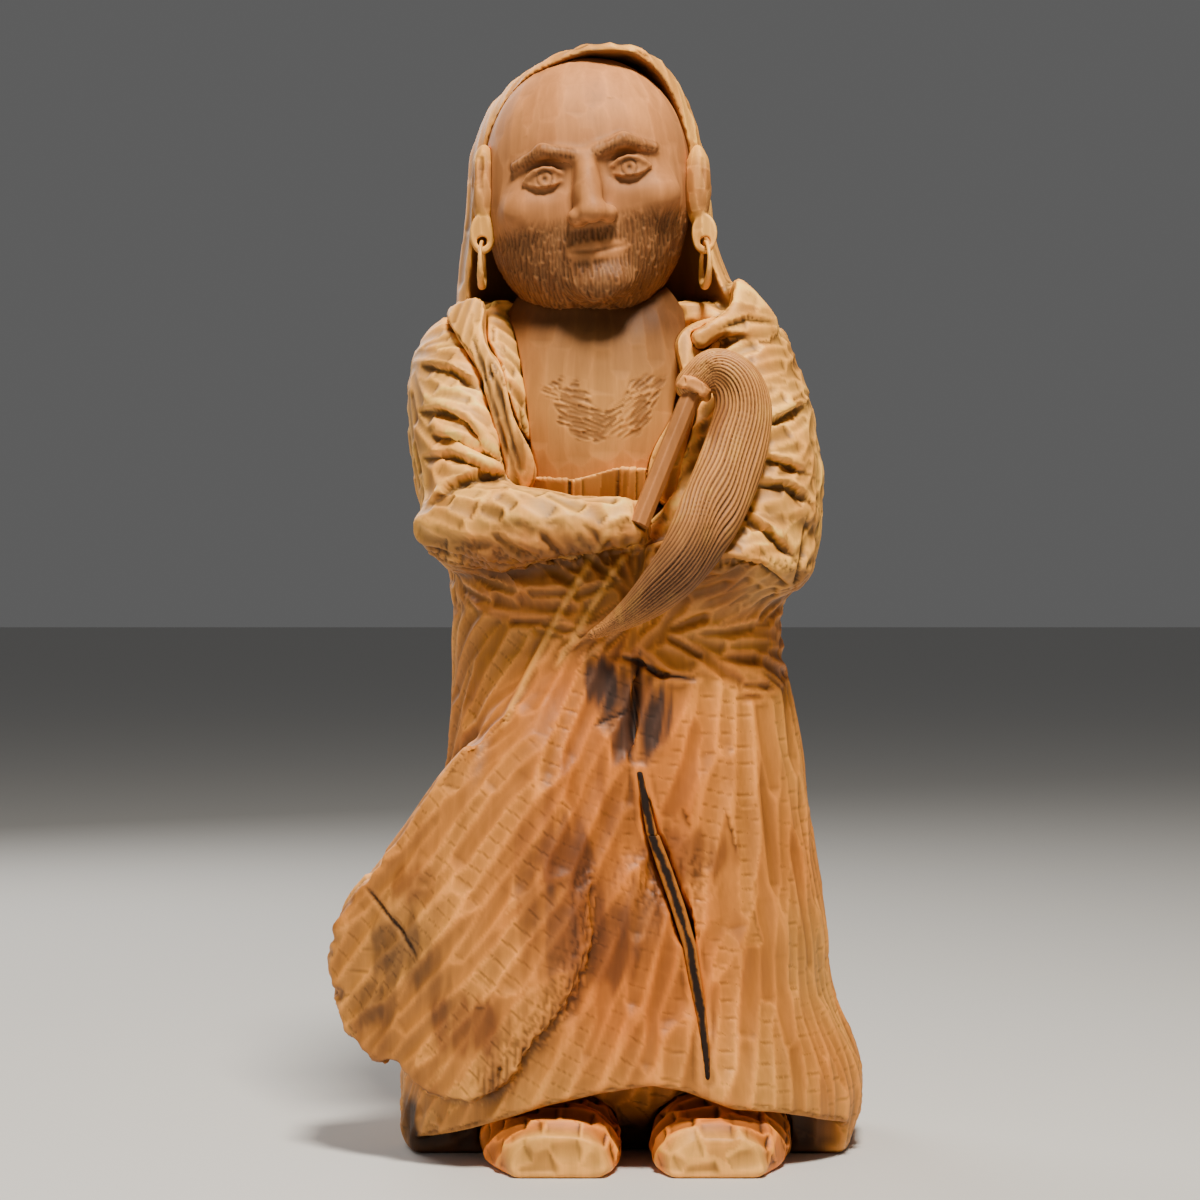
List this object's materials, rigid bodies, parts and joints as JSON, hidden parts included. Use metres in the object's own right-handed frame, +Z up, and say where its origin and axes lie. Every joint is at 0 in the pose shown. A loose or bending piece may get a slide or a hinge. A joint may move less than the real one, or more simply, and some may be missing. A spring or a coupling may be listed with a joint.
{
  "type": "carved wooden figure",
  "caption": "Free-standing carved wooden figure of a hooded, robed monk with a fly whisk, with a windblown skirt flap and loose ring earrings in its pierced ear lobes.",
  "frame": {"origin": "on the floor, under the middle of the figure's bounding box", "axes": "+Z up; the figure faces -Y and its left side is +X"},
  "size_m": [0.2951, 0.224, 0.602],
  "materials": {
    "robe_wood": "chisel-faceted, waxed, pale sapwood",
    "skirt_wood": "long gouge strokes, waxed, orange-brown heartwood",
    "smooth_wood": "scraped smooth, waxed",
    "foot_wood": "rough facets",
    "handle_wood": "smooth facets",
    "hair_wood": "veined with fine grooves",
    "filler_wood": "dark slivers",
    "ring_wood": "smooth, pale"
  },
  "bodies": {
    "figure": {"head": "smooth_wood", "left_ear": "smooth_wood", "right_ear": "smooth_wood", "chest": "smooth_wood", "hood": "robe_wood", "upper_robe": "robe_wood", "right_sleeve": "robe_wood", "left_sleeve": "robe_wood", "collar_fold": "robe_wood", "right_lapel": "robe_wood", "left_lapel": "robe_wood", "under_robe_band": "robe_wood", "skirt": "skirt_wood", "robe_flap": "skirt_wood", "base_core": "skirt_wood", "right_foot": "foot_wood", "left_foot": "foot_wood", "whisk_handle": "handle_wood", "whisk_knob": "handle_wood", "whisk_hair": "hair_wood", "crack_filler_upper": "filler_wood", "crack_filler_lower": "filler_wood"},
    "left_ring": {"left_earring": "ring_wood"},
    "right_ring": {"right_earring": "ring_wood"}
  },
  "joints": [
    {"name": "left_ring_swing", "type": "hinge", "parent": "figure", "child": "left_ring", "pos_m": [0.0575, -0.028, 0.495], "axis": [0, 1, 0], "range_deg": [-12, 12]},
    {"name": "right_ring_swing", "type": "hinge", "parent": "figure", "child": "right_ring", "pos_m": [-0.0645, -0.028, 0.495], "axis": [0, 1, 0], "range_deg": [-12, 12]}
  ]
}
